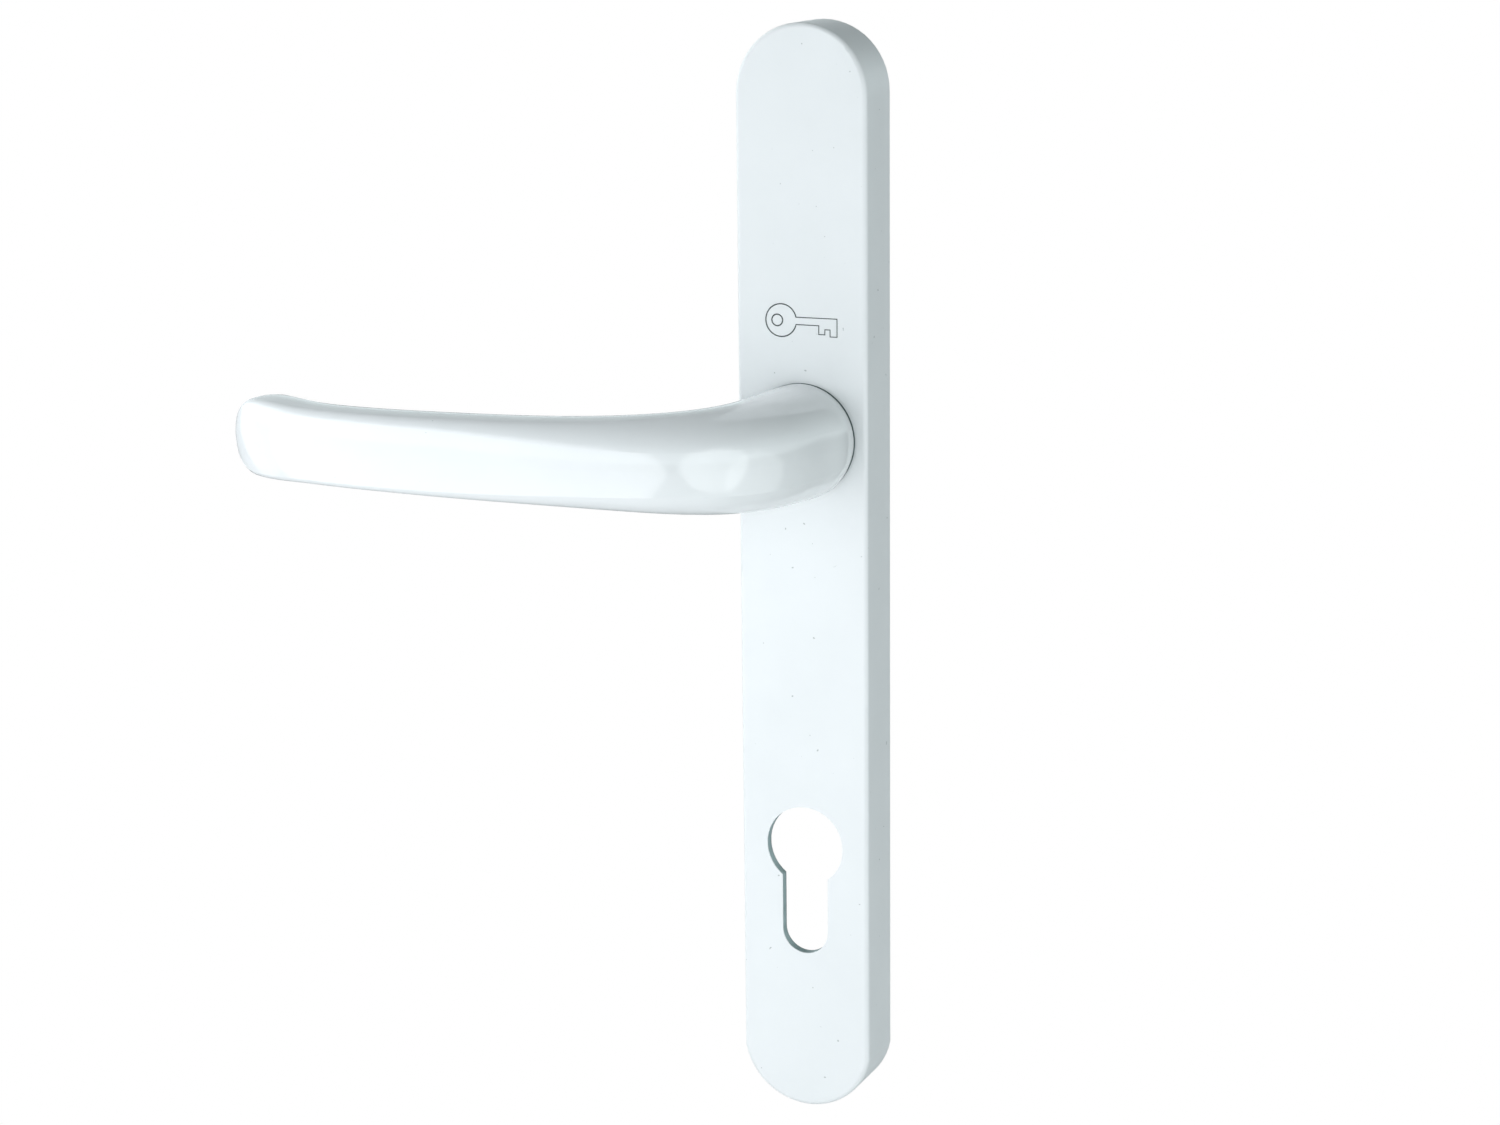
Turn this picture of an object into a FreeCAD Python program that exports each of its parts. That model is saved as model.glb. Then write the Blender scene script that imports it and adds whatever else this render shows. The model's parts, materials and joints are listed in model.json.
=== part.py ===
"""Sprung lever door handle on a long backplate with a cut-out for a euro profile cylinder.

Frame, in millimetres: the origin is where the lever's axis meets the door face.
+Z is up the backplate, +Y points into the door and -Y towards the person, and the lever
points along -X at rest. The backplate is a hollow casting with its open back on Y = 0.

Behind the lever a spring cassette brings it back to level. The cam turns with the lever,
and each of its two arms stands between an upper and a lower plunger. Each plunger has a
compression spring behind it.
"""

import FreeCAD, Part

import math
import os

import Sketcher
from FreeCAD import Rotation, Vector

# ---------------------------------------------------------------- driving dimensions
SIZES = {
    # backplate casting
    "plate_width": 30.0,
    "plate_above": 89.0,  # from the lever's axis to the top end
    "plate_below": 153.2,  # from the lever's axis to the bottom end
    "foot_radius": 15.3,  # the bottom end is a little flatter than a half circle
    "plate_depth": 14.0,
    "plate_face": 2.2,  # thickness behind the front face
    "plate_wall": 1.1,  # thickness of the side wall at its back rim
    "plate_draft": 3.0,  # degrees that the hollow narrows towards the face
    "plate_edge": 1.0,  # rounding round the front face
    "collar_radius": 12.4,  # stiffening ring behind the face, round the neck's hole
    "collar_back": 10.6,  # from the door face to the back of that ring
    "rib_width": 1.6,
    "rib_back": 3.0,  # from the door face to the ribs' edges
    # euro profile cut-out
    "cylinder_drop": 92.0,  # lever axis to cylinder axis
    "barrel_radius": 9.0,
    "slot_width": 10.8,
    "cutout_height": 34.0,
    # fixings
    "fixing_span": 215.0,
    "pillar_radius": 6.0,
    "pillar_back": 2.0,
    "post_radius": 4.0,
    "post_collar_radius": 5.2,
    "post_reach": 16.0,  # how far a post stands into the door
    "spigot_radius": 3.25,
    "spigot_length": 7.0,
    "thread_core_radius": 2.1,  # M5 tapping hole
    "thread_depth": 20.0,
    # lever grip
    "boss_radius": 12.2,
    "boss_gap": 0.6,  # between the boss and the backplate's face
    "grip_crown": 12.0,  # degrees that the front and back turn before their corners
    "tip_round": 8.0,  # radius of the tip's end as seen from the front
    "tip_edge": 1.8,  # rounding of the tip's end as seen from above
    # lever neck
    "journal_radius": 8.0,
    "journal_back": 8.0,  # from the door face to the neck's end
    "groove_radius": 7.6,
    "dog_inner": 6.1,
    "dog_outer": 7.2,
    "dog_back": 5.2,
    "dog_width": 5.0,
    "socket_width": 8.1,  # for an 8 mm square spindle
    "socket_depth": 24.0,  # in the neck
    # neck bush
    "bush_radius": 10.0,
    "bush_play": 0.05,
    "flange_radius": 10.8,
    "flange_thick": 0.55,
    # rings on the neck
    "washer_radius": 11.6,
    "washer_thick": 0.5,
    "disc_radius": 11.0,
    "disc_thick": 0.35,
    "disc_height": 0.6,
    "circlip_thick": 1.0,
    "circlip_radius": 9.5,
    "ear_radius": 1.5,
    "ear_hole": 0.65,
    # spring cassette
    "case_width": 25.2,
    "case_height": 50.4,
    "case_corner": 2.0,
    "case_wall": 0.9,
    "case_floor": 0.9,
    "case_front": 7.8,  # from the door face to the case's front
    "case_back": 1.6,  # from the door face to the case's back, where the cover lies
    "cover_thick": 1.0,
    "hub_radius": 7.3,
    "hub_play": 0.25,
    "hub_back": 0.4,
    "arm_radius": 9.6,  # from the axis to the middle of each arm's rounded end
    "arm_round": 1.5,
    "arm_neck": 1.0,  # half width of an arm, narrower than its end so that only the end bears
    "plunger_width": 3.9,
    "plunger_height": 6.0,
    "plunger_gap": 0.25,
    "plunger_side": 0.15,
    "peg_radius": 0.9,
    "peg_length": 2.0,
    "spring_radius": 1.5,  # to the middle of the wire
    "spring_wire": 0.4,  # radius of the wire
    "spring_turns": 7.0,
    "screw_offset": 17.0,
    "screw_radius": 1.45,
    "screw_head": 2.8,
    "screw_head_height": 1.7,
    "screw_sink": 1.0,
    "screw_reach": 10.6,  # from the door face to the screw's tip
    "boss_post_radius": 3.6,
    "stake_across": 4.6,
    "stake_up": 21.4,
    "stake_radius": 1.1,
    "stake_head": 1.7,
}

# Middle line of the lever in plan: distance across from the axis, and distance out from the
# door, of the control points of one smooth curve.
PATH = {
    "neck": (0.0, 37.6),
    "bend": (12.0, 53.3),
    "palm": (72.5, 58.0),
    "curl": (107.0, 54.4),
    "tip": (117.3, 44.6),
}
# Share of the lever's length, and its section there: half height, half depth, corner radius,
# and in degrees the crease where the sides meet the corners of the underside.
SECTIONS = {
    "root": (0.0, 12.2, 12.2, 12.2, 0.0),
    "shoulder": (0.08, 11.9, 11.9, 11.0, 7.0),
    "neck": (0.17, 11.4, 11.2, 9.8, 11.0),
    "bend": (0.37, 9.65, 9.3, 6.4, 14.0),
    "palm": (0.62, 8.8, 6.9, 2.9, 16.0),
    "curl": (0.84, 8.6, 5.9, 2.1, 16.0),
    "tip": (1.0, 9.3, 5.9, 1.9, 16.0),
}
SECTION_KEYS = ("share", "height", "depth", "corner", "crease")

doc = FreeCAD.newDocument("lever_handle")
sheet = doc.addObject("Spreadsheet::Sheet", "Sizes")
nodes = {}


def fill_sheet():
    """Writes every driving dimension to the sheet as plain text, with its alias."""
    rows = dict(SIZES)
    for name, (across, out) in PATH.items():
        rows[f"path_{name}_across"] = across
        rows[f"path_{name}_out"] = out
    for name, numbers in SECTIONS.items():
        for key, number in zip(SECTION_KEYS, numbers):
            rows[f"grip_{name}_{key}"] = number
    for row, (alias, value) in enumerate(rows.items(), start=1):
        sheet.set(f"A{row}", alias)
        sheet.set(f"B{row}", str(value))
        sheet.setAlias(f"B{row}", alias)
    doc.recompute()


def expression(text):
    """Turns 'plate_width / 2' into an expression that reads the sheet."""
    words = []
    for word in text.replace("(", " ( ").replace(")", " ) ").split():
        words.append(f"Sizes.{word}" if word[0].isalpha() else word)
    return " ".join(words)


def value(text):
    """The number that an expression on the sheet's names has now."""
    return float(sheet.evalExpression(expression(text)))


# ---------------------------------------------------------------- sketch helpers
def new_body(name):
    body = doc.addObject("PartDesign::Body", name)
    body.Label = name
    nodes[name] = body
    return body


def new_sketch(body, name, plane="XZ_Plane", offset="0"):
    """A sketch on one of the body's own planes. On XZ_Plane its x is X, its y is Z, and the
    offset is the distance out from the door face, towards -Y."""
    sketch = body.newObject("Sketcher::SketchObject", f"{body.Name}_{name}")
    support = next(f for f in body.Origin.OriginFeatures if f.Role == plane)
    sketch.AttachmentSupport = [(support, "")]
    sketch.MapMode = "FlatFace"
    sketch.setExpression("AttachmentOffset.Base.z", expression(offset))
    return sketch


def bind(sketch, kind, where, text):
    """Adds one dimension, named and bound to the sheet."""
    number = value(text)
    index = sketch.addConstraint(Sketcher.Constraint(kind, *where, number))
    name = f"size{index}"
    sketch.renameConstraint(index, name)
    sketch.setExpression(f"Constraints.{name}", expression(text))


def place(sketch, point, across, up):
    """Ties a point, given as (geometry, position), to the origin by two distances."""
    for kind, text, axis in (("DistanceX", across, -2), ("DistanceY", up, -1)):
        number = value(text)
        if abs(number) < 1e-9:
            sketch.addConstraint(Sketcher.Constraint("PointOnObject", *point, axis))
        elif number > 0:
            bind(sketch, kind, (-1, 1, *point), text)
        else:
            bind(sketch, kind, (*point, -1, 1), f"0 - ( {text} )")


def add_circle(sketch, radius, across="0", up="0"):
    centre = Vector(value(across), value(up), 0)
    circle = Part.Circle(centre, Vector(0, 0, 1), value(radius))
    index = sketch.addGeometry(circle, False)
    bind(sketch, "Radius", (index,), radius)
    place(sketch, (index, 3), across, up)


def add_rectangle(sketch, left, right, bottom, top):
    low = Vector(value(left), value(bottom), 0)
    high = Vector(value(right), value(top), 0)
    corners = [low, Vector(high.x, low.y, 0), high, Vector(low.x, high.y, 0)]
    first = None
    for start, end in zip(corners, corners[1:] + corners[:1]):
        index = sketch.addGeometry(Part.LineSegment(start, end), False)
        first = index if first is None else first
    for side in range(4):
        joined = (first + side, 2, first + (side + 1) % 4, 1)
        sketch.addConstraint(Sketcher.Constraint("Coincident", *joined))
        kind = "Vertical" if side % 2 else "Horizontal"
        sketch.addConstraint(Sketcher.Constraint(kind, first + side))
    place(sketch, (first, 1), left, bottom)
    place(sketch, (first + 2, 1), right, top)


def add_obround(sketch, radius, top, bottom, foot=None):
    """An upright slot with round ends on the Z axis; top and bottom are its arcs' centres.
    Where foot is given, the bottom arc has that radius and meets the sides at a corner."""
    size, high, low = value(radius), value(top), value(bottom)
    foot_size = value(foot or radius)
    lean = math.acos(min(1.0, size / foot_size))
    joint = low - foot_size * math.sin(lean)
    normal = Vector(0, 0, 1)
    up = Part.ArcOfCircle(Part.Circle(Vector(0, high, 0), normal, size), 0, math.pi)
    down = Part.ArcOfCircle(
        Part.Circle(Vector(0, low, 0), normal, foot_size), math.pi + lean, 2 * math.pi - lean
    )
    left = Part.LineSegment(Vector(-size, high, 0), Vector(-size, joint, 0))
    right = Part.LineSegment(Vector(size, joint, 0), Vector(size, high, 0))
    arc, side, end, back = (sketch.addGeometry(g, False) for g in (up, left, down, right))
    lower = "Coincident" if foot else "Tangent"
    for kind, joined in (
        ("Tangent", (arc, 2, side, 1)),
        (lower, (side, 2, end, 1)),
        (lower, (end, 2, back, 1)),
        ("Tangent", (back, 2, arc, 1)),
    ):
        sketch.addConstraint(Sketcher.Constraint(kind, *joined))
    bind(sketch, "Radius", (arc,), radius)
    if foot:
        bind(sketch, "Radius", (end,), foot)
    place(sketch, (arc, 3), "0", top)
    place(sketch, (end, 3), "0", bottom)


def extrude(body, sketch, length, cut=False, inward=False):
    """Pads or pockets a sketch towards the person, or towards the door where inward is set,
    and makes sure that it changed the body."""
    before = body.Shape.Volume if body.Tip else 0.0
    kind = "Pocket" if cut else "Pad"
    feature = body.newObject(f"PartDesign::{kind}", f"{sketch.Name}_{kind}")
    feature.Profile = sketch
    feature.setExpression("Length", expression(length))
    feature.Reversed = cut != inward
    sketch.Visibility = False
    doc.recompute()
    grown = body.Shape.Volume - before
    if (grown > -1e-6 if cut else grown < 1e-6):
        raise RuntimeError(f"{feature.Name} changed nothing")
    return feature


def disc(body, name, radius, front, back, across="0", up="0", cut=False):
    """A round pad or hole along Y between two distances from the door face."""
    sketch = new_sketch(body, name, offset=back)
    add_circle(sketch, radius, across, up)
    return extrude(body, sketch, f"{front} - ( {back} )", cut=cut)


def ring(body, name, outer, inner, front, back):
    sketch = new_sketch(body, name, offset=back)
    add_circle(sketch, outer)
    add_circle(sketch, inner)
    return extrude(body, sketch, f"{front} - ( {back} )")


def block(body, name, sides, front, back, cut=False):
    """A rectangular pad or hole along Y; sides are its left, right, bottom and top."""
    sketch = new_sketch(body, name, offset=back)
    add_rectangle(sketch, *sides)
    return extrude(body, sketch, f"{front} - ( {back} )", cut=cut)


def edges_where(shape, test):
    """Names of a shape's edges whose middle point passes the test."""
    found = []
    for number, edge in enumerate(shape.Edges, start=1):
        middle = edge.valueAt((edge.FirstParameter + edge.LastParameter) / 2)
        if test(middle, edge):
            found.append(f"Edge{number}")
    return found


def round_edges(body, name, base, edges, radius, kind="Fillet"):
    feature = body.newObject(f"PartDesign::{kind}", f"{body.Name}_{name}")
    feature.Base = (base, edges)
    feature.setExpression("Radius" if kind == "Fillet" else "Size", expression(radius))
    doc.recompute()
    return feature


# ---------------------------------------------------------------- backplate
UPPER_POST = "( plate_above - plate_below ) / 2 + fixing_span / 2"
LOWER_POST = "( plate_above - plate_below ) / 2 - fixing_span / 2"


def make_backplate():
    body = new_body("backplate")
    outline = new_sketch(body, "outline")
    half = "plate_width / 2"
    ends = (f"plate_above - {half}", "foot_radius - plate_below")
    add_obround(outline, half, *ends, foot="foot_radius")
    slab = extrude(body, outline, "plate_depth")
    face = -value("plate_depth")
    front = edges_where(slab.Shape, lambda p, e: abs(p.y - face) < 1e-6)
    round_edges(body, "edge", slab, front, "plate_edge")
    hollow = new_sketch(body, "hollow")
    add_obround(hollow, f"{half} - plate_wall", *ends, foot="foot_radius - plate_wall")
    pocket = extrude(body, hollow, "plate_depth - plate_face", cut=True)
    pocket.setExpression("TaperAngle", expression("0 - plate_draft"))
    floor = "plate_depth - plate_face / 2"  # starts inside the face, so that the pads join it
    disc(body, "collar", "collar_radius", floor, "collar_back")
    for side, up in (("upper", UPPER_POST), ("lower", LOWER_POST)):
        disc(body, f"pillar_{side}", "pillar_radius", floor, "pillar_back", up=up)
        disc(
            body,
            f"post_hole_{side}",
            "spigot_radius",
            "pillar_back + spigot_length",
            "pillar_back",
            up=up,
            cut=True,
        )
    for side, up in (("upper", "screw_offset"), ("lower", "0 - screw_offset")):
        disc(body, f"screw_boss_{side}", "boss_post_radius", floor, "case_front", up=up)
        disc(
            body,
            f"pilot_{side}",
            "screw_radius + 0.05",
            "screw_reach + 0.4",
            "case_front",
            up=up,
            cut=True,
        )
    for number, height in enumerate(("45", "0 - 46", "0 - 70", "0 - 127"), start=1):
        span = "plate_width / 2 - plate_wall * 0.6"
        sides = (f"0 - ( {span} )", span, f"{height} - rib_width / 2", f"{height} + rib_width / 2")
        block(body, f"rib{number}", sides, floor, "rib_back")
    disc(body, "neck_hole", "bush_radius", "plate_depth + 1", "0", cut=True)
    drop = "0 - cylinder_drop"
    disc(body, "barrel_hole", "barrel_radius", "plate_depth + 1", "0", up=drop, cut=True)
    slot = new_sketch(body, "slot")
    foot = "barrel_radius + slot_width / 2 - cutout_height - cylinder_drop"
    add_obround(slot, "slot_width / 2", drop, foot)
    extrude(body, slot, "plate_depth + 1", cut=True)


def make_fixing_posts():
    for side, up in (("upper", UPPER_POST), ("lower", LOWER_POST)):
        body = new_body(f"fixing_post_{side}")
        disc(body, "spigot", "spigot_radius", "pillar_back + spigot_length", "pillar_back", up=up)
        disc(body, "collar", "post_collar_radius", "pillar_back", "0", up=up)
        shank = disc(body, "shank", "post_radius", "0", "0 - post_reach", up=up)
        end = value("post_reach")
        rim = edges_where(shank.Shape, lambda p, e: abs(p.y - end) < 1e-6)
        round_edges(body, "chamfer", shank, rim, "post_radius / 8", kind="Chamfer")
        front = "thread_depth - post_reach"
        disc(body, "thread", "thread_core_radius", front, "0 - post_reach", up=up, cut=True)


# ---------------------------------------------------------------- lever
def grip_path():
    """Middle line of the lever, from the boss out and then along the door."""
    points = [Vector(0, -value("plate_depth + boss_gap"), 0)]
    for name in PATH:
        points.append(Vector(-value(f"path_{name}_across"), -value(f"path_{name}_out"), 0))
    curve = Part.BSplineCurve()
    inner = len(points) - 4
    knots = [step / (inner + 1) for step in range(inner + 2)]
    curve.buildFromPolesMultsKnots(points, [4] + [1] * inner + [4], knots, False, 3)
    return curve


def grip_curve(*keys):
    """A smooth curve through one or two of the section's sizes, by share of the length."""
    points = []
    for name in SECTIONS:
        numbers = [value(f"grip_{name}_{key}") for key in ("share", *keys)]
        points.append(Vector(*numbers))
    curve = Part.BSplineCurve()
    curve.interpolate(Points=points, Parameters=[p.x for p in points])
    return curve


def section_quarter(height, depth, corner, crease):
    """Three arcs from the middle of the front to the middle of the top, each as its radius,
    its centre's distances out and up, and the angles of its ends. The crease is the angle
    between the front and its corner."""
    turn = math.radians(value("grip_crown"))
    first, last = turn + math.radians(crease), math.pi / 2 - turn
    # radii of the side and of the cap, from the two sums that close the quarter
    out_sum = depth + corner * (math.cos(last) - math.cos(first))
    up_sum = height - corner * (math.sin(last) - math.sin(first))
    short, long = 1.0 - math.cos(turn), math.sin(turn)
    scale = short * short - long * long
    side = (out_sum * short - up_sum * long) / scale
    cap = (up_sum * short - out_sum * long) / scale
    corner_out = depth - side + side * math.cos(turn) - corner * math.cos(first)
    corner_up = side * math.sin(turn) - corner * math.sin(first)
    return [
        (side, depth - side, 0.0, 0.0, turn),
        (corner, corner_out, corner_up, first, last),
        (cap, 0.0, height - cap, last, math.pi / 2),
    ]


def section_wire(centre, outward, height, depth, corner, crease):
    """A closed section of twelve arcs, a quarter at a time. It is a circle where the height,
    the depth and the corner are equal and there is no crease."""
    upper = section_quarter(height, depth, corner, 0.0)
    lower = section_quarter(height, depth, corner, crease)
    edges = []
    for arcs, out_sign, up_sign in ((upper, 1, 1), (upper, -1, 1), (lower, -1, -1), (lower, 1, -1)):
        forward = out_sign == up_sign
        for radius, out, up, start, end in arcs if forward else reversed(arcs):
            angles = (start, (start + end) / 2, end)
            points = []
            for angle in angles if forward else reversed(angles):
                across = out_sign * (out + radius * math.cos(angle))
                rise = up_sign * (up + radius * math.sin(angle))
                points.append(centre + outward * across + Vector(0, 0, rise))
            edges.append(Part.Arc(*points).toShape())
    return Part.Wire(edges)


def drawn_in(distance, radius):
    """How far a quarter-round end has drawn in, at a distance from the tip."""
    inset = max(0.0, 1.0 - distance / radius)
    return radius * (1.0 - math.sqrt(1.0 - inset * inset))


def make_grip():
    """The lever's outer form: sections lofted along the path, with a rounded tip."""
    path = grip_path()
    sizes, corners = grip_curve("height", "depth"), grip_curve("corner", "crease")
    length = path.length()
    radius = value("tip_round")
    spacing = length / 14
    along = [spacing * step for step in range(14) if spacing * step < length - radius * 1.3]
    along += [length - radius * share for share in (1.0, 0.75, 0.5, 0.3, 0.14, 0.04)]
    wires = []
    for distance in along:
        at = path.parameterAtDistance(distance, path.FirstParameter)
        tangent = path.tangent(at)[0]
        outward = Vector(tangent.y, -tangent.x, 0)
        _, height, depth = sizes.value(distance / length)
        height -= drawn_in(length - distance, radius)
        depth -= drawn_in(length - distance, value("tip_edge"))
        _, corner, crease = corners.value(distance / length)
        if distance > 0:
            corner = min(corner, 0.8 * height, 0.8 * depth)
        wires.append(section_wire(path.value(at), outward, height, depth, corner, crease))
    return Part.makeLoft(wires, True, False)


def make_lever():
    grip = doc.addObject("Part::Feature", "grip_form")
    grip.Shape = make_grip()
    body = new_body("lever")
    body.BaseFeature = grip
    doc.recompute()
    base = "plate_depth + boss_gap"
    disc(body, "journal", "journal_radius", f"{base} + 1", "journal_back")
    groove = new_sketch(body, "groove", offset="journal_back + 0.5")
    add_circle(groove, "journal_radius + 1")
    add_circle(groove, "groove_radius")
    extrude(body, groove, "circlip_thick", cut=True)
    for side, sign in (("upper", 1), ("lower", -1)):
        sketch = new_sketch(body, f"dog_{side}", offset="dog_back")
        add_dog(sketch, sign)
        extrude(body, sketch, "journal_back + 0.3 - dog_back")
    half = "socket_width / 2"
    sides = (f"0 - {half}", half, f"0 - {half}", half)
    block(body, "socket", sides, "journal_back + socket_depth", "dog_back", cut=True)


def add_dog(sketch, sign, play=0.0):
    """One arc-shaped tooth above or below the axis, between two radii."""
    outer, inner = value("dog_outer") + play, value("dog_inner") - play
    half = value("dog_width") / 2 + play
    lean_out, lean_in = math.asin(half / outer), math.asin(half / inner)
    middle = sign * math.pi / 2
    normal = Vector(0, 0, 1)
    far = Part.ArcOfCircle(
        Part.Circle(Vector(), normal, outer), middle - lean_out, middle + lean_out
    )
    near = Part.ArcOfCircle(
        Part.Circle(Vector(), normal, inner), middle - lean_in, middle + lean_in
    )
    ends = [
        Part.LineSegment(far.EndPoint, near.EndPoint),
        Part.LineSegment(near.StartPoint, far.StartPoint),
    ]
    outer_arc, inner_arc, first, second = (
        sketch.addGeometry(g, False) for g in (far, near, *ends)
    )
    for joined in (
        (outer_arc, 2, first, 1),
        (first, 2, inner_arc, 2),
        (inner_arc, 1, second, 1),
        (second, 2, outer_arc, 1),
    ):
        sketch.addConstraint(Sketcher.Constraint("Coincident", *joined))
    for arc, size, margin in (
        (outer_arc, "dog_outer", f"+ {play}"),
        (inner_arc, "dog_inner", f"- {play}"),
    ):
        sketch.addConstraint(Sketcher.Constraint("Coincident", arc, 3, -1, 1))
        bind(sketch, "Radius", (arc,), f"{size} {margin}")
    for line in (first, second):
        sketch.addConstraint(Sketcher.Constraint("Vertical", line))
    bind(sketch, "DistanceX", (first, 1, second, 1) if sign > 0 else (second, 1, first, 1),
         f"dog_width + 2 * {play}")


# ---------------------------------------------------------------- rings on the neck
def make_neck_bush():
    body = new_body("neck_bush")
    bore = "journal_radius + bush_play"
    ring(body, "barrel", "bush_radius", bore, "plate_depth", "collar_back")
    ring(body, "flange", "flange_radius", bore, "plate_depth + flange_thick", "plate_depth")


def make_thrust_washer():
    body = new_body("thrust_washer")
    bore = "journal_radius + bush_play"
    ring(body, "ring", "washer_radius", bore, "collar_back", "collar_back - washer_thick")


def make_disc_spring():
    """A shallow cone of spring steel, revolved about the lever's axis."""
    body = new_body("disc_spring")
    sketch = new_sketch(body, "section", plane="XY_Plane")
    inner, outer = value("journal_radius + bush_play"), value("disc_radius")
    front = -value("collar_back - washer_thick")
    thick, height = value("disc_thick"), value("disc_height")
    corners = [
        Vector(inner, front + height - thick, 0),
        Vector(inner, front + height, 0),
        Vector(outer, front + thick, 0),
        Vector(outer, front, 0),
    ]
    for start, end in zip(corners, corners[1:] + corners[:1]):
        sketch.addGeometry(Part.LineSegment(start, end), False)
    for side in range(4):
        joined = (side, 2, (side + 1) % 4, 1)
        sketch.addConstraint(Sketcher.Constraint("Coincident", *joined))
    bore, face = "journal_radius + bush_play", "washer_thick - collar_back"
    place(sketch, (0, 1), bore, f"{face} + disc_height - disc_thick")
    place(sketch, (1, 1), bore, f"{face} + disc_height")
    place(sketch, (2, 1), "disc_radius", f"{face} + disc_thick")
    place(sketch, (3, 1), "disc_radius", face)
    turn = body.newObject("PartDesign::Revolution", "disc_spring_turn")
    turn.Profile = sketch
    turn.ReferenceAxis = (sketch, ["V_Axis"])
    turn.Angle = 360
    doc.recompute()


def make_circlip():
    """An external ring with a gap at the bottom and a drilled ear each side of it."""
    body = new_body("circlip")
    front, back = "journal_back + 0.5 + circlip_thick - 0.03", "journal_back + 0.5 + 0.03"
    ring(body, "ring", "circlip_radius", "groove_radius + 0.05", front, back)
    ear_up = "0 - circlip_radius + 0.3"
    gap = ("0 - ear_radius * 1.4", "ear_radius * 1.4", "0 - circlip_radius - 2", "0")
    block(body, "gap", gap, front, back, cut=True)
    for side, sign in (("left", "0 -"), ("right", "0 +")):
        across = f"{sign} ear_radius * 2.1"
        disc(body, f"ear_{side}", "ear_radius", front, back, across, ear_up)
    for side, sign in (("left", "0 -"), ("right", "0 +")):
        across = f"{sign} ear_radius * 2.1"
        disc(body, f"eye_{side}", "ear_hole", front, back, across, ear_up, cut=True)


# ---------------------------------------------------------------- spring cassette
CHANNEL_INNER = "arm_radius - plunger_width / 2 - plunger_side"
CHANNEL_OUTER = "case_width / 2 - case_wall"
CHANNEL_END = "case_height / 2 - case_wall * 1.4"
STAKES = [(x, z) for x in ("stake_across", "0 - stake_across") for z in ("stake_up", "0 - stake_up")]


def make_spring_case():
    body = new_body("spring_case")
    half, tall = "case_width / 2", "case_height / 2"
    box = block(body, "box", (f"0 - {half}", half, f"0 - {tall}", tall), "case_front", "case_back")
    upright = edges_where(
        box.Shape, lambda p, e: abs(p.x) > value(half) - 1e-6 and abs(p.z) > value(tall) - 1e-6
    )
    round_edges(body, "corner", box, upright, "case_corner")
    depth = "case_front - case_floor"
    for side, sides in (
        ("left", (f"0 - ( {CHANNEL_OUTER} )", f"0 - ( {CHANNEL_INNER} )")),
        ("right", (CHANNEL_INNER, CHANNEL_OUTER)),
    ):
        ends = (f"0 - ( {CHANNEL_END} )", CHANNEL_END)
        block(body, f"channel_{side}", (*sides, *ends), depth, "case_back", cut=True)
    disc(body, "well", "arm_radius + arm_round + 0.3", depth, "case_back", cut=True)
    disc(body, "floor_hole", "hub_radius + hub_play", "case_front", "case_back", cut=True)
    for side, up in (("upper", "screw_offset"), ("lower", "0 - screw_offset")):
        disc(body, f"screw_{side}", "screw_radius + 0.25", "case_front", "case_back", up=up, cut=True)
        disc(
            body,
            f"sink_{side}",
            "screw_head + 0.1",
            "case_back + screw_sink",
            "case_back",
            up=up,
            cut=True,
        )
    for number, (across, up) in enumerate(STAKES, start=1):
        disc(body, f"stake{number}", "stake_radius", "case_back + 0.5", "case_back - cover_thick",
             across, up)
        disc(body, f"stake_head{number}", "stake_head", "case_back - cover_thick",
             "case_back - cover_thick - 0.4", across, up)


def make_spring_cover():
    body = new_body("spring_cover")
    half, tall = "case_width / 2", "case_height / 2"
    front, back = "case_back", "case_back - cover_thick"
    plate = block(body, "plate", (f"0 - {half}", half, f"0 - {tall}", tall), front, back)
    upright = edges_where(
        plate.Shape, lambda p, e: abs(p.x) > value(half) - 1e-6 and abs(p.z) > value(tall) - 1e-6
    )
    round_edges(body, "corner", plate, upright, "case_corner")
    disc(body, "hub_hole", "hub_radius + hub_play", front, back, cut=True)
    for number, (across, up) in enumerate(STAKES, start=1):
        disc(body, f"stake_hole{number}", "stake_radius + 0.05", front, back, across, up, cut=True)
    for side, up in (("upper", "screw_offset"), ("lower", "0 - screw_offset")):
        disc(body, f"screw_hole_{side}", "screw_head + 0.1", front, back, up=up, cut=True)
    for side, sign in (("left", -1), ("right", 1)):
        for end, way in (("upper", 1), ("lower", -1)):
            middle = "arm_radius" if sign > 0 else "0 - arm_radius"
            near, far = ("10.5", "21.5") if way > 0 else ("0 - 21.5", "0 - 10.5")
            sides = (f"{middle} - spring_radius * 0.8", f"{middle} + spring_radius * 0.8", near, far)
            block(body, f"window_{side}_{end}", sides, front, back, cut=True)


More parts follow.
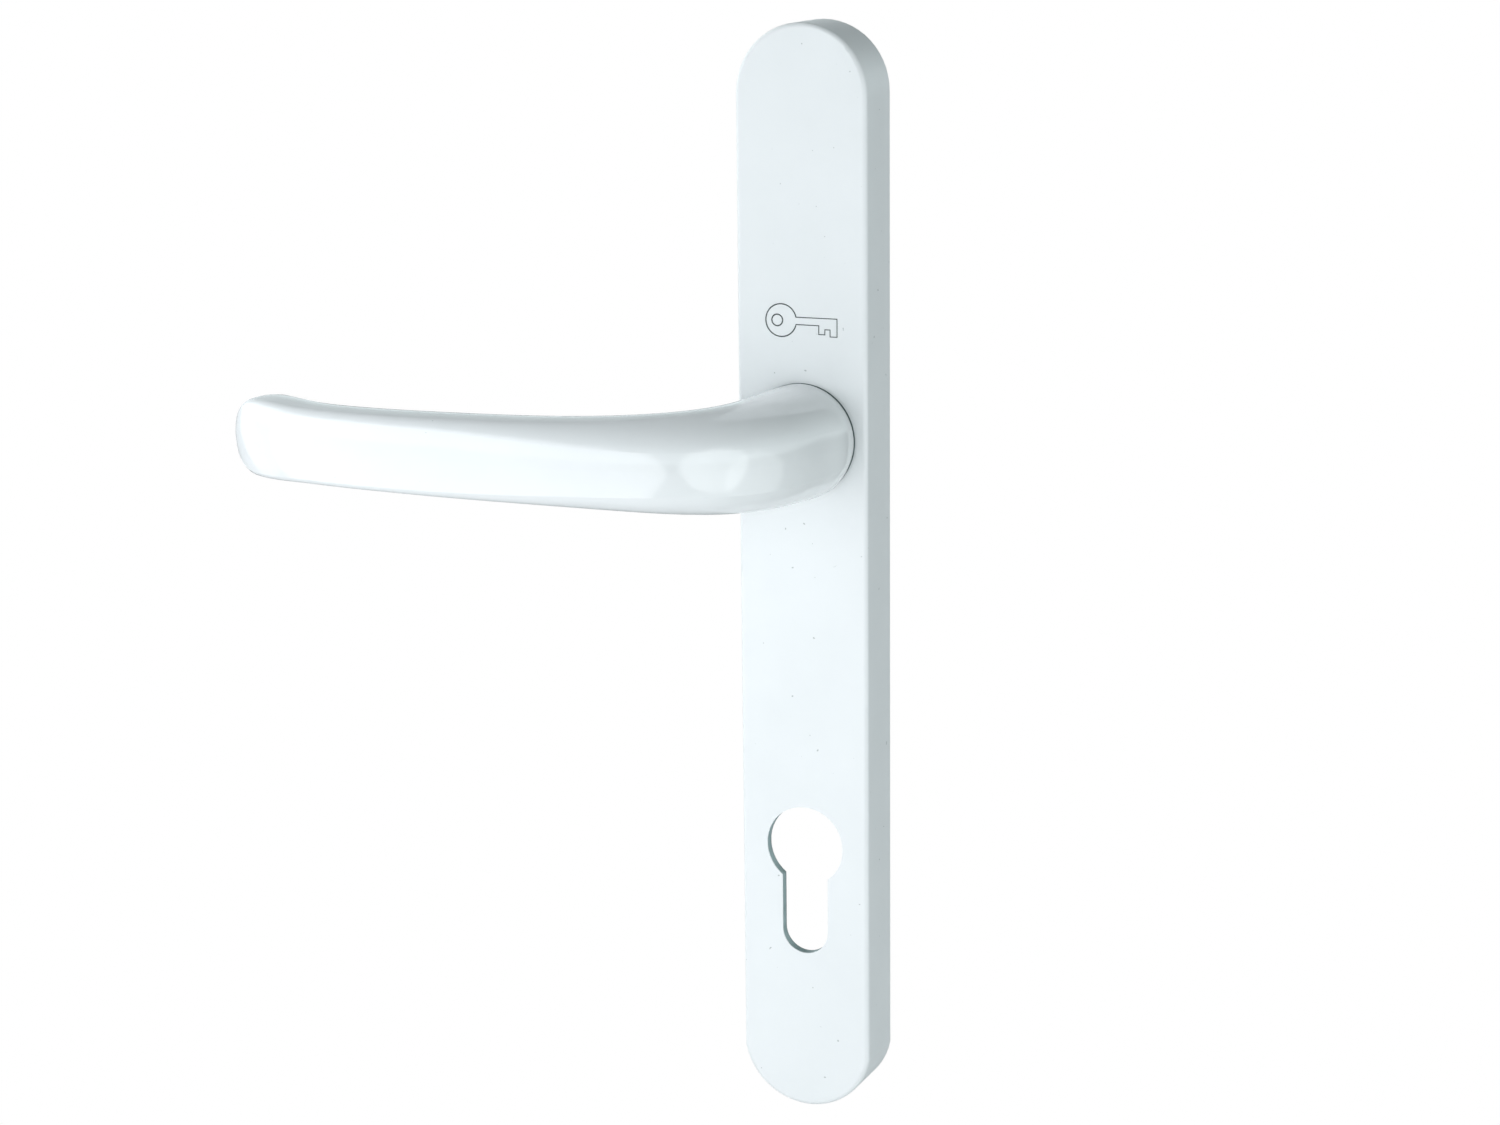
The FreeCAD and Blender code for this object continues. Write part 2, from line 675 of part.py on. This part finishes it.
def make_cover_screws():
    """Two pan-head screws, each with a cross recess, as one group of solids."""
    solids = []
    head, shank = value("screw_head"), value("screw_radius")
    seat = -value("case_back + screw_sink")
    tip = -value("screw_reach")
    height = value("screw_head_height")
    point_length = 1.2
    inward = Vector(0, -1, 0)
    for up in (value("screw_offset"), -value("screw_offset")):
        pan = Part.makeCylinder(head, height, Vector(0, seat + height, up), inward)
        rim = edges_where(pan, lambda p, e: abs(p.y - seat - height) < 1e-6)
        pan = pan.makeFillet(height / 3, [pan.Edges[int(name[4:]) - 1] for name in rim])
        rod = Part.makeCylinder(shank, seat - tip - point_length, Vector(0, seat, up), inward)
        start = Vector(0, tip + point_length, up)
        point = Part.makeCone(shank, shank / 4, point_length, start, inward)
        screw = pan.fuse([rod, point]).removeSplitter()
        for turn in (0, 90):
            arm = Part.makeBox(head * 1.15, 1.0, 0.75, Vector(-head * 0.575, -1.0, -0.375))
            arm.rotate(Vector(), Vector(0, 1, 0), turn)
            arm.translate(Vector(0, seat + height, up))
            screw = screw.cut(arm)
        solids.append(screw.Solids[0])
    feature = doc.addObject("Part::Feature", "cover_screws")
    feature.Label = "cover_screws"
    feature.Shape = Part.makeCompound(solids)
    nodes["cover_screws"] = feature


def make_drive_cam():
    """A hub with a square hole, two arms with round ends, and notches for the neck's dogs."""
    body = new_body("drive_cam")
    front = "case_front - case_floor - 0.1"
    disc(body, "hub", "hub_radius", front, "hub_back")
    arm_front, arm_back = "case_front - case_floor - 0.25", "case_back + 0.25"
    sides = ("0 - arm_radius", "arm_radius", "0 - arm_neck", "arm_neck")
    block(body, "arms", sides, arm_front, arm_back)
    for side, across in (("left", "0 - arm_radius"), ("right", "arm_radius")):
        disc(body, f"arm_end_{side}", "arm_round", arm_front, arm_back, across)
    for side, sign in (("upper", 1), ("lower", -1)):
        notch = new_sketch(body, f"notch_{side}", offset="dog_back - 0.15")
        add_dog(notch, sign, play=0.1)
        extrude(body, notch, "case_front", cut=True)
    half = "socket_width / 2"
    block(body, "square", (f"0 - {half}", half, f"0 - {half}", half), "case_front", "0", cut=True)


def make_plungers_and_springs():
    """Four plungers, one above and one below each arm, and the spring behind each of them."""
    for end, way in (("upper", 1), ("lower", -1)):
        for side, across in (("left", -value("arm_radius")), ("right", value("arm_radius"))):
            make_plunger(f"plunger_{end}_{side}", across, way)
            make_spring(f"return_spring_{end}_{side}", across, way)


def make_plunger(name, across, way):
    """A square slide with a round peg that keeps the spring in line."""
    middle = -value("( case_front - case_floor + case_back ) / 2")
    width, height = value("plunger_width"), value("plunger_height")
    foot = value("arm_round + plunger_gap")
    block_form = doc.addObject("Part::Box", f"{name}_block")
    block_form.setExpression("Length", expression("plunger_width"))
    block_form.setExpression("Width", expression("case_front - case_floor - case_back - 0.4"))
    block_form.setExpression("Height", expression("plunger_height"))
    deep = value("case_front - case_floor - case_back - 0.4")
    low = foot if way > 0 else -foot - height
    block_form.Placement.Base = Vector(across - width / 2, middle - deep / 2, low)
    peg = doc.addObject("Part::Cylinder", f"{name}_peg")
    peg.setExpression("Radius", expression("peg_radius"))
    peg.setExpression("Height", expression("peg_length + plunger_height / 2"))
    start = Vector(across, middle, way * (foot + height / 2))
    peg.Placement = FreeCAD.Placement(start, Rotation(Vector(0, 0, 1), Vector(0, 0, way)))
    whole = doc.addObject("Part::Fuse", name)
    whole.Base, whole.Tool, whole.Refine = block_form, peg, True
    whole.Label = name
    nodes[name] = whole
    doc.recompute()


def make_spring(name, across, way):
    """A helix of round wire between the plunger and the end of its channel."""
    wire = value("spring_wire")
    low = value("arm_round + plunger_gap + plunger_height") + wire + 0.05
    high = value(CHANNEL_END) - wire - 0.05
    middle = -value("( case_front - case_floor + case_back ) / 2")
    helix = doc.addObject("Part::Helix", f"{name}_helix")
    helix.Pitch = (high - low) / value("spring_turns")
    helix.Height = high - low
    helix.setExpression("Radius", expression("spring_radius"))
    turn = Rotation() if way > 0 else Rotation(Vector(1, 0, 0), 180)
    helix.Placement = FreeCAD.Placement(Vector(across, middle, way * low), turn)
    doc.recompute()
    start = helix.Shape.Edges[0]
    ring_form = doc.addObject("Part::Circle", f"{name}_section")
    ring_form.setExpression("Radius", expression("spring_wire"))
    at = start.FirstParameter
    ring_form.Placement = FreeCAD.Placement(
        start.valueAt(at), Rotation(Vector(0, 0, 1), start.tangentAt(at))
    )
    sweep = doc.addObject("Part::Sweep", name)
    sweep.Sections = [ring_form]
    sweep.Spine = (helix, [])
    sweep.Solid, sweep.Frenet = True, True
    sweep.Label = name
    nodes[name] = sweep
    doc.recompute()


# ---------------------------------------------------------------- build and write
def check_document():
    for item in doc.Objects:
        if "Invalid" in item.State or "Error" in item.State:
            raise RuntimeError(f"{item.Name} failed: {item.State}")
    for name, item in nodes.items():
        if item.Shape.isNull() or not item.Shape.isValid() or not item.Shape.Solids:
            raise RuntimeError(f"{name} has no valid solid")


def write_parts():
    os.makedirs("parts", exist_ok=True)
    for old in os.listdir("parts"):
        os.remove(os.path.join("parts", old))
    for name, item in nodes.items():
        item.Shape.exportStep(os.path.join("parts", f"{name}.step"))
        print(f"{name}: {item.Shape.Volume:.1f} mm3, {len(item.Shape.Solids)} solid(s)")


fill_sheet()
make_backplate()
make_fixing_posts()
make_lever()
make_neck_bush()
make_thrust_washer()
make_disc_spring()
make_circlip()
make_spring_case()
make_spring_cover()
make_cover_screws()
make_drive_cam()
make_plungers_and_springs()
doc.recompute()
check_document()
write_parts()
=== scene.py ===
import json
import math

import bpy
from mathutils import Matrix, Vector


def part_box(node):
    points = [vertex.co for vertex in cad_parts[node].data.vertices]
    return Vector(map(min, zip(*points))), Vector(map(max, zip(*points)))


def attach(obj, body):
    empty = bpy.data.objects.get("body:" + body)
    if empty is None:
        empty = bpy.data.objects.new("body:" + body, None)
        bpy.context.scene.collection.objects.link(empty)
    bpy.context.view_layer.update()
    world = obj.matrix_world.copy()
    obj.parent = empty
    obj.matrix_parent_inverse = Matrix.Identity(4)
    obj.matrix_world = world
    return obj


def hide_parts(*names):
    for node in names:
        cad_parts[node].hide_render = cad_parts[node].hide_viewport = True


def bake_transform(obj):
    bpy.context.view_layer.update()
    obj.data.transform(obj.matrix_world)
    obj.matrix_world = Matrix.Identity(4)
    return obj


# A sprung lever handle on a long backplate. Lengths are in metres, in the part's own frame:
# +Z up the plate, -Y out of the door towards the person, and the lever along -X at rest.

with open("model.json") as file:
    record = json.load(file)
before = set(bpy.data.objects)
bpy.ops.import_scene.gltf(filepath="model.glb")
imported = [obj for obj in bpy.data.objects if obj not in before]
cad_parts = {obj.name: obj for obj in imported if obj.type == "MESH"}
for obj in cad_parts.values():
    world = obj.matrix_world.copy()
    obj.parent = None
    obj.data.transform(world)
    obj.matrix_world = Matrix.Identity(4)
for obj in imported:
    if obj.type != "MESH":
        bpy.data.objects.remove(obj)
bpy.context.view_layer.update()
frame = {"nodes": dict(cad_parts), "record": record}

PLATE_LOW, PLATE_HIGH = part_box("backplate")
PLATE_HALF_WIDTH = PLATE_HIGH[0]
PLATE_FACE = PLATE_LOW[1]
MIDDLE = (0, 0, -0.03)  # about half-way up the plate
NOISE_LOW = 0.3  # most of a noise lies between these two values
NOISE_HIGH = 0.7

# ---------------------------------------------------------------- node helpers
def new_material(name):
    material = bpy.data.materials.new(name)
    material.use_nodes = True
    tree = material.node_tree
    tree.nodes.clear()
    output = tree.nodes.new("ShaderNodeOutputMaterial")
    shader = tree.nodes.new("ShaderNodeBsdfPrincipled")
    tree.links.new(shader.outputs["BSDF"], output.inputs["Surface"])
    return material, tree, shader


def noise(tree, scale, detail=4.0):
    """Solid noise in the part's own coordinates, with scale in cycles per metre."""
    where = tree.nodes.new("ShaderNodeTexCoord")
    texture = tree.nodes.new("ShaderNodeTexNoise")
    texture.inputs["Scale"].default_value = scale
    texture.inputs["Detail"].default_value = detail
    tree.links.new(where.outputs["Object"], texture.inputs["Vector"])
    return texture.outputs["Fac"]


def ramp(tree, source, stops):
    """Maps a 0 to 1 value between two colour stops, given as (place, colour)."""
    node = tree.nodes.new("ShaderNodeValToRGB")
    for element, (place, colour) in zip(node.color_ramp.elements, stops):
        element.position = place
        element.color = (*colour, 1)
    tree.links.new(source, node.inputs["Fac"])
    return node.outputs["Color"]


def tones(tree, source, dark, light):
    """Spreads a noise between two colours."""
    return ramp(tree, source, [(NOISE_LOW, dark), (NOISE_HIGH, light)])


def remap(tree, source, low, high, to_low, to_high):
    node = tree.nodes.new("ShaderNodeMapRange")
    node.inputs["From Min"].default_value = low
    node.inputs["From Max"].default_value = high
    node.inputs["To Min"].default_value = to_low
    node.inputs["To Max"].default_value = to_high
    tree.links.new(source, node.inputs["Value"])
    return node.outputs["Result"]


def roughen(tree, shader, source, smooth, rough):
    """Spreads a noise between two values of the roughness."""
    value = remap(tree, source, NOISE_LOW, NOISE_HIGH, smooth, rough)
    tree.links.new(value, shader.inputs["Roughness"])


def bump(tree, shader, height, distance):
    node = tree.nodes.new("ShaderNodeBump")
    node.inputs["Distance"].default_value = distance
    tree.links.new(height, node.inputs["Height"])
    tree.links.new(node.outputs["Normal"], shader.inputs["Normal"])


def separate(tree, source):
    """The three parts of a vector."""
    node = tree.nodes.new("ShaderNodeSeparateXYZ")
    tree.links.new(source, node.inputs["Vector"])
    return node.outputs["X"], node.outputs["Y"], node.outputs["Z"]


def math_node(tree, operation, *values):
    """A Math node, its inputs either numbers or other nodes' outputs."""
    node = tree.nodes.new("ShaderNodeMath")
    node.operation = operation
    for socket, number in zip(node.inputs, values):
        if isinstance(number, (int, float)):
            socket.default_value = number
        else:
            tree.links.new(number, socket)
    return node.outputs["Value"]


def flat_distance(tree, across, up):
    """The length of a vector in the plate's plane."""
    squares = [math_node(tree, "MULTIPLY", side, side) for side in (across, up)]
    return math_node(tree, "SQRT", math_node(tree, "ADD", *squares))


def above(tree, source, edge, blur):
    """1 where the source is over an edge and 0 where it is under, with a soft change."""
    return remap(tree, source, edge, edge + blur, 0.0, 1.0)


def below(tree, source, edge, blur):
    """1 where the source is under an edge and 0 where it is over, with a soft change."""
    return remap(tree, source, edge, edge + blur, 1.0, 0.0)


def blend_colour(tree, factor, first, second, mode="MIX"):
    """Mixes two colours, both other nodes' outputs, by a number or another node's output."""
    mix = tree.nodes.new("ShaderNodeMix")
    mix.data_type = "RGBA"
    mix.blend_type = mode
    if isinstance(factor, float):
        mix.inputs["Factor"].default_value = factor
    else:
        tree.links.new(factor, mix.inputs["Factor"])
    tree.links.new(first, mix.inputs["A"])
    tree.links.new(second, mix.inputs["B"])
    return mix.outputs["Result"]


def white_to_camera(tree, lit, white, output):
    """Shows plain white to the camera and keeps the lit shader for every other ray."""
    path = tree.nodes.new("ShaderNodeLightPath")
    white.inputs["Color"].default_value = (1, 1, 1, 1)
    mix = tree.nodes.new("ShaderNodeMixShader")
    tree.links.new(path.outputs["Is Camera Ray"], mix.inputs["Fac"])
    tree.links.new(lit.outputs[0], mix.inputs[1])
    tree.links.new(white.outputs[0], mix.inputs[2])
    tree.links.new(mix.outputs["Shader"], output.inputs["Surface"])


# ---------------------------------------------------------------- materials
def coat_colour(tree, speck_scale, speck_edge):
    """White powder with a slow tone drift, and grey specks of dust where a fine noise is over
    the edge."""
    base = tones(tree, noise(tree, 60, 3), (0.825, 0.845, 0.855), (0.85, 0.868, 0.878))
    specks = noise(tree, speck_scale, 0)
    full = speck_edge + 0.02  # where a speck reaches its full grey
    dust = ramp(tree, specks, [(speck_edge, (1, 1, 1)), (full, (0.62, 0.64, 0.63))])
    return blend_colour(tree, 1.0, base, dust, "MULTIPLY")


def lever_coat():
    """Glossy white powder coat with faint orange peel."""
    material, tree, shader = new_material("white_coat_lever")
    colour = coat_colour(tree, speck_scale=1300, speck_edge=0.90)
    tree.links.new(colour, shader.inputs["Base Color"])
    roughen(tree, shader, noise(tree, 300), smooth=0.09, rough=0.12)
    shader.inputs["Specular IOR Level"].default_value = 0.85
    bump(tree, shader, noise(tree, 900, 2), distance=0.000003)
    return material


def plate_regions(tree):
    """Where the plate's hollow, the cut-out's walls and the ring under the boss are; the walls and
    the ring carry painted shade. Each is 1 inside and 0 outside, with a narrow soft change."""
    blur = 0.0001
    rim = 0.00105  # thickness of the plate's sides
    foot_radius = 0.0153  # of the plate's bottom end
    wall_reach = 0.0098  # from the middle line, just past the cut-out's widest part
    white_edge = 0.00015  # depth of the white on the cut-out's edge
    boss_radius = 0.01222
    hollow_floor = PLATE_FACE + 0.0020
    where = tree.nodes.new("ShaderNodeTexCoord")
    x, y, z = separate(tree, where.outputs["Object"])
    # distance from the line between the centres of the plate's two round ends
    over = math_node(tree, "SUBTRACT", z, PLATE_HIGH[2] - PLATE_HALF_WIDTH)
    under = math_node(tree, "SUBTRACT", z, PLATE_LOW[2] + foot_radius)
    past = [math_node(tree, "MAXIMUM", over, 0.0), math_node(tree, "MINIMUM", under, 0.0)]
    from_line = flat_distance(tree, x, math_node(tree, "ADD", *past))
    inside = below(tree, from_line, PLATE_HALF_WIDTH - rim, blur)
    behind = above(tree, y, hollow_floor - 2 * blur, 2 * blur)
    hollow = math_node(tree, "MULTIPLY", inside, behind)
    near = below(tree, from_line, wall_reach, 2 * blur)
    # the cut-out's walls, which get painted shade
    wall = math_node(tree, "MULTIPLY", near, above(tree, y, PLATE_FACE + white_edge, 2 * blur))
    wall = math_node(tree, "MULTIPLY", wall, below(tree, y, hollow_floor, blur))
    # a ring on the plate just past the boss's rim, for painted shadow in the gap
    gap_shadow_ring = below(tree, flat_distance(tree, x, z), boss_radius, blur / 2)
    return hollow, wall, gap_shadow_ring


def plate_coat():
    """Satin white powder coat outside. The coat doesn't reach the hollow, which is bare
    mottled casting. The cut-out's walls get a teal grey of painted shade, and the plate under the
    boss's rim gets a near-black painted shadow of the gap."""
    material, tree, shader = new_material("white_coat")
    hollow, wall, gap_shadow_ring = plate_regions(tree)
    casting = tones(tree, noise(tree, 260, 5), (0.34, 0.35, 0.36), (0.50, 0.51, 0.52))
    # painted shade: a teal grey on the cut-out's walls, where shade falls in the opening
    painted_wall_shade = tones(tree, noise(tree, 500), (0.36, 0.48, 0.485), (0.45, 0.58, 0.585))
    # painted shadow: near-black on the plate in the gap under the boss's rim
    painted_gap_shadow = tones(tree, noise(tree, 500), (0.075, 0.115, 0.12), (0.13, 0.18, 0.18))
    colour = coat_colour(tree, speck_scale=1100, speck_edge=0.875)
    colour = blend_colour(tree, hollow, colour, casting)
    colour = blend_colour(tree, wall, colour, painted_wall_shade)
    colour = blend_colour(tree, gap_shadow_ring, colour, painted_gap_shadow)
    tree.links.new(colour, shader.inputs["Base Color"])
    metallic = math_node(tree, "MULTIPLY", hollow, 0.55)
    tree.links.new(metallic, shader.inputs["Metallic"])
    roughen(tree, shader, noise(tree, 400), smooth=0.33, rough=0.42)
    bump(tree, shader, noise(tree, 1500, 2), distance=0.000016)
    return material


def mottled(name, dark, light, roughness, scale, grain, metallic=0.0, detail=4.0):
    """A plain finish whose tone, roughness and grain follow one noise."""
    material, tree, shader = new_material(name)
    shader.inputs["Metallic"].default_value = metallic
    tone = noise(tree, scale, detail)
    tree.links.new(tones(tree, tone, dark, light), shader.inputs["Base Color"])
    roughen(tree, shader, tone, *roughness)
    bump(tree, shader, tone, grain)
    return material


def metal(name, dark, light, roughness, scale, grain=0.00001):
    return mottled(name, dark, light, roughness, scale, grain, metallic=1.0, detail=5.0)


def plastic(name, dark, light, roughness):
    return mottled(name, dark, light, roughness, scale=700, grain=0.00002)


def printed_line():
    """Flat dark ink."""
    material, tree, shader = new_material("printed_line")
    ink = tones(tree, noise(tree, 700), (0.03, 0.045, 0.045), (0.07, 0.09, 0.09))
    tree.links.new(ink, shader.inputs["Base Color"])
    shader.inputs["Roughness"].default_value = 0.6
    return material


MATERIALS = {
    "white_coat": plate_coat(),
    "white_coat_lever": lever_coat(),
    "zinc_plated": metal("zinc_plated", (0.55, 0.57, 0.60), (0.68, 0.69, 0.70), (0.22, 0.38), 500),
    "spring_steel": metal("spring_steel", (0.30, 0.30, 0.31), (0.42, 0.42, 0.43), (0.25, 0.4), 900),
    "screw_steel": metal("screw_steel", (0.58, 0.56, 0.48), (0.70, 0.68, 0.60), (0.25, 0.4), 700),
    "cast_zinc": metal("cast_zinc", (0.42, 0.43, 0.45), (0.55, 0.56, 0.58), (0.4, 0.6), 800, 0.00003),
    "acetal": plastic("acetal", (0.06, 0.06, 0.065), (0.09, 0.09, 0.095), (0.35, 0.5)),
    "case_plastic": plastic("case_plastic", (0.035, 0.035, 0.04), (0.06, 0.06, 0.065), (0.45, 0.6)),
}

slot_of = {part["node"]: part["material_slot"] for part in frame["record"]["subparts"]}
for name, node in frame["nodes"].items():
    node.data.materials.clear()
    node.data.materials.append(MATERIALS[slot_of[name]])

# ---------------------------------------------------------------- return springs
WIRE = 0.0004  # radius of the springs' wire
TURNS = 8.0
CLOSED_TURNS = 0.8  # at each end, where the coil lies flat


def coil_rise(turn, length):
    """Height of the wire's middle over the coil's start. Between its flat ends the coil climbs
    evenly, and at each end it climbs by only half the wire's thickness."""
    climb = (turn - CLOSED_TURNS) / (TURNS - 2 * CLOSED_TURNS)
    start = min(turn / CLOSED_TURNS, 1.0)
    end = max((turn - TURNS + CLOSED_TURNS) / CLOSED_TURNS, 0.0)
    return min(max(climb, 0.0), 1.0) * (length - 4 * WIRE) + WIRE * (start + end)


def coil_mesh(name, middle, low, high):
    """A round wire wound upright inside a box, capped at both ends."""
    around_wire = 10  # faces round the wire
    steps = 200  # faces along it
    radius = (high[0] - low[0]) / 2 - WIRE
    length = high[2] - low[2] - 2 * WIRE
    verts = []
    faces = []
    for step in range(steps + 1):
        turn = TURNS * step / steps
        angle = 2 * math.pi * turn
        height = low[2] + WIRE + coil_rise(turn, length)
        for k in range(around_wire):
            side = 2 * math.pi * k / around_wire
            reach = radius + WIRE * math.cos(side)
            verts.append((
                middle[0] + reach * math.cos(angle),
                middle[1] + reach * math.sin(angle),
                height + WIRE * math.sin(side),
            ))
    for ring in range(0, steps * around_wire, around_wire):
        for k in range(around_wire):
            here = ring + k
            beside = ring + (k + 1) % around_wire
            faces.append((here, beside, beside + around_wire, here + around_wire))
    faces.append(tuple(range(around_wire)))
    faces.append(tuple(reversed(range(steps * around_wire, (steps + 1) * around_wire))))
    mesh = bpy.data.meshes.new(name)
    mesh.from_pydata(verts, [], faces)
    mesh.polygons.foreach_set("use_smooth", [True] * len(mesh.polygons))
    mesh.update()
    return mesh


def make_coil(corner):
    """A compression spring with closed ends, in place of a CAD spring."""
    low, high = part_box(f"return_spring_{corner}")
    middle = ((low[0] + high[0]) / 2, (low[1] + high[1]) / 2)
    mesh = coil_mesh(f"coil_{corner}", middle, low, high)
    mesh.materials.append(MATERIALS["spring_steel"])
    coil = bpy.data.objects.new(f"coil_{corner}", mesh)
    bpy.context.scene.collection.objects.link(coil)
    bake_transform(coil)
    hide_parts(f"return_spring_{corner}")


for level in ("upper", "lower"):
    for side in ("left", "right"):
        make_coil(f"{level}_{side}")

# ---------------------------------------------------------------- mark on the plate
MARK_HEIGHT = 0.0257  # of the mark's middle above the lever's axis
LINE_RADIUS = 0.00016
LINE_SINK = 0.00005  # how far the line's middle lies in the plate


def arc_points(centre, radius, start, end, count):
    """Points on an arc, with angles in degrees."""
    points = []
    for k in range(count):
        angle = math.radians(start + (end - start) * k / (count - 1))
        points.append((centre[0] + radius * math.cos(angle), centre[1] + radius * math.sin(angle)))
    return points


def make_mark():
    """A plain outline of a key, printed on the plate's face above the lever. Every distance
    is in millimetres from the middle of the mark."""
    bow = arc_points(centre=(-4.7, 0), radius=3.55, start=13, end=347, count=41)
    bit = [(4.0, -0.8), (4.0, -2.7), (5.4, -2.7), (5.4, -1.6), (6.6, -1.6), (6.6, -3.1), (8.2, -3.1)]
    outline = [*bow, *bit, (8.2, 0.8)]
    hole = arc_points(centre=(-5.6, 0), radius=1.25, start=0, end=360, count=25)
    hole.pop()  # the last point lies on the first
    curve = bpy.data.curves.new("key_outline", "CURVE")
    curve.dimensions = "3D"
    curve.bevel_depth = LINE_RADIUS
    curve.bevel_resolution = 2
    for points in (outline, hole):
        spline = curve.splines.new("POLY")
        spline.points.add(len(points) - 1)
        for point, (across, rise) in zip(spline.points, points):
            point.co = (across / 1000, 0, rise / 1000, 1)
        spline.use_cyclic_u = True
    curve.materials.append(printed_line())
    mark = bpy.data.objects.new("key_outline", curve)
    bpy.context.scene.collection.objects.link(mark)
    mark.location = (0, PLATE_FACE + LINE_SINK, MARK_HEIGHT)
    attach(mark, "backplate")


make_mark()

# ---------------------------------------------------------------- floor, room, lights and camera
FLOOR_SIZE = 80.0
FLOOR_HEIGHT = -0.45
CAMERA_PLACE = (0.2607, -0.65494, 0.12831)
CAMERA_AZIMUTH = 23.09  # degrees, as are the elevation and the roll
CAMERA_ELEVATION = 12.67
CAMERA_ROLL = -0.59
CAMERA_LENS = 78.07  # millimetres, as is the sensor
CAMERA_SENSOR = 36.0


def make_floor():
    """A wide pale floor, which the camera sees as a bright white sweep."""
    bpy.ops.mesh.primitive_plane_add(size=FLOOR_SIZE, location=(0, 0, FLOOR_HEIGHT))
    floor = bpy.context.object
    floor.name = "floor"
    material, tree, shader = new_material("floor_white")
    shader.inputs["Base Color"].default_value = (0.7, 0.71, 0.71, 1)
    shader.inputs["Roughness"].default_value = 0.9
    white = tree.nodes.new("ShaderNodeEmission")
    white_to_camera(tree, shader, white, tree.nodes["Material Output"])
    floor.data.materials.append(material)


def make_world():
    """A pale room that darkens overhead, which the camera sees as plain white."""
    world = bpy.data.worlds.new("studio")
    bpy.context.scene.world = world
    world.use_nodes = True
    tree = world.node_tree
    where = tree.nodes.new("ShaderNodeTexCoord")
    height = separate(tree, where.outputs["Generated"])[2]
    tone = ramp(tree, height, [(0.0, (0.955, 1.08, 1.10)), (0.6, (0.01, 0.02, 0.02))])
    tree.links.new(tone, tree.nodes["Background"].inputs["Color"])
    white = tree.nodes.new("ShaderNodeBackground")
    white_to_camera(tree, tree.nodes["Background"], white, tree.nodes["World Output"])


def direction(azimuth, elevation):
    """The way out from the object, in degrees: azimuth 0 is in front, and 90 to the right."""
    turn = math.radians(azimuth)
    rise = math.radians(elevation)
    reach = math.cos(rise)
    return Vector((math.sin(turn) * reach, -math.cos(turn) * reach, math.sin(rise)))


def make_light(name, way, size, colour, away, power, aim=MIDDLE, reflected=True):
    """A large soft oval light, out along a way from the point that it faces. One that isn't
    reflected leaves no streak on the glossy lever."""
    data = bpy.data.lights.new(name, "AREA")
    data.shape = "ELLIPSE"
    data.size, data.size_y = size
    data.energy = power
    data.color = colour
    light = bpy.data.objects.new(name, data)
    bpy.context.scene.collection.objects.link(light)
    light.location = Vector(aim) + way * away
    light.rotation_mode = "QUATERNION"
    light.rotation_quaternion = (-way).to_track_quat("-Z", "Y")
    light.visible_glossy = reflected


def make_lights():
    """One broad light close in front of the lever, and four further out that fill the sides."""
    wide = (0.62, 0.44)
    even = (0.72, 0.72)
    tall = (0.72, 0.76)
    blue = (0.99, 1.0, 1.03)
    pale_blue = (0.98, 1.0, 1.03)
    teal = (0.97, 1.0, 1.02)
    green = (0.955, 1.0, 1.01)
    under_lever = (0, 0, -0.042)
    make_light("key_near", direction(-27, -4), wide, blue, away=0.36, power=0.95, aim=under_lever)
    make_light("key_left", direction(-75, 5), even, pale_blue, away=0.8, power=1.2)
    make_light("upper_left", direction(-103, 44), even, teal, away=0.75, power=3.7, reflected=False)
    make_light("fill_right", direction(47, -3), tall, green, away=0.8, power=2.05)
    make_light("fill_low", direction(78, -16), even, green, away=0.8, power=1.2)


def make_camera():
    """Placed by fitting the plate's and the cut-out's known sizes to the photographed view."""
    back = direction(CAMERA_AZIMUTH, CAMERA_ELEVATION)
    level = (-back).cross(Vector((0, 0, 1))).normalized()
    upright = level.cross(-back)
    roll = math.radians(CAMERA_ROLL)
    right = level * math.cos(roll) + upright * math.sin(roll)
    up = upright * math.cos(roll) - level * math.sin(roll)
    data = bpy.data.cameras.new("camera")
    data.sensor_width = CAMERA_SENSOR
    data.lens = CAMERA_LENS
    data.clip_start = 0.01
    data.clip_end = 20.0
    camera = bpy.data.objects.new("camera", data)
    bpy.context.scene.collection.objects.link(camera)
    turned = Matrix((right, up, back)).transposed().to_4x4()
    camera.matrix_world = Matrix.Translation(CAMERA_PLACE) @ turned
    bpy.context.scene.camera = camera


make_floor()
make_world()
make_lights()
make_camera()
bpy.context.scene.view_settings.view_transform = "Standard"
